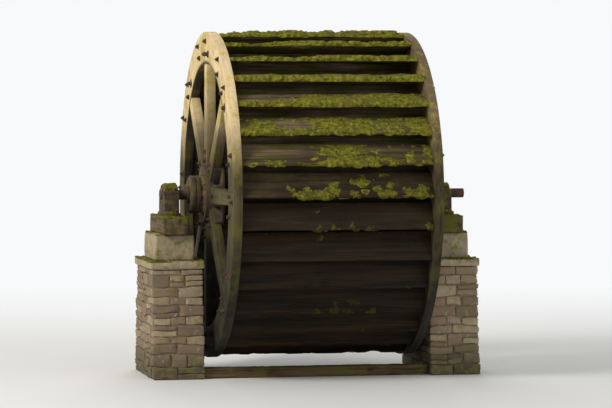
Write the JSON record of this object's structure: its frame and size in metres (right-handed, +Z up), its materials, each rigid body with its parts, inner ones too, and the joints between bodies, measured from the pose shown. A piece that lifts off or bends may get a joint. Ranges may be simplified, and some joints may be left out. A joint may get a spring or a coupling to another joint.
{
  "type": "water wheel",
  "caption": "Timber breastshot water wheel with elbow buckets between two shroud rings, turning on an oak axle in plummer block bearings on rubble stone piers.",
  "frame": {"origin": "on the bed of the wheel pit, under the middle of the wheel", "axes": "+X along the axle towards the mill, -Y towards the tail water, +Z up"},
  "size_m": [3.9, 3.7998, 3.9999],
  "materials": {
    "rubble": "coursed limestone rubble with lime mortar",
    "dressed": "weathered dressed limestone",
    "oak": "weathered oak with lichen",
    "elm": "wet elm boards grown over with moss",
    "iron": "rusted cast iron",
    "wrought": "rusted wrought iron",
    "brass": "dull bearing brass"
  },
  "bodies": {
    "stand": {"pier_bank": "rubble", "pier_mill": "rubble", "cap_stone_bank": "dressed", "cap_stone_mill": "dressed", "bearing_stone_bank": "dressed", "bearing_stone_mill": "dressed", "bearer_bank": "oak", "bearer_mill": "oak", "pit_sill": "oak", "bearing_base_bank": "iron", "bearing_base_mill": "iron", "brasses_bank": "brass", "brasses_mill": "brass", "bearing_cap_bank": "iron", "bearing_cap_mill": "iron"},
    "wheel": {"axle": "oak", "axle_hoops": "wrought", "gudgeon_bank": "wrought", "gudgeon_mill": "wrought", "hub_bank": "iron", "hub_mill": "iron", "hub_wedges": "oak", "arms_bank": "oak", "arms_mill": "oak", "shroud_bank": "oak", "shroud_mill": "oak", "tie_rods": "wrought", "sole_boards": "elm", "buckets_bay_1": "elm", "buckets_bay_2": "elm", "buckets_bay_3": "elm", "buckets_bay_4": "elm", "buckets_bay_5": "elm", "buckets_bay_6": "elm", "buckets_bay_7": "elm", "buckets_bay_8": "elm"}
  },
  "joints": [
    {"name": "wheel_turn", "type": "hinge", "parent": "stand", "child": "wheel", "pos_m": [0, 0, 2.1], "axis": [-1, 0, 0], "continuous": true}
  ]
}
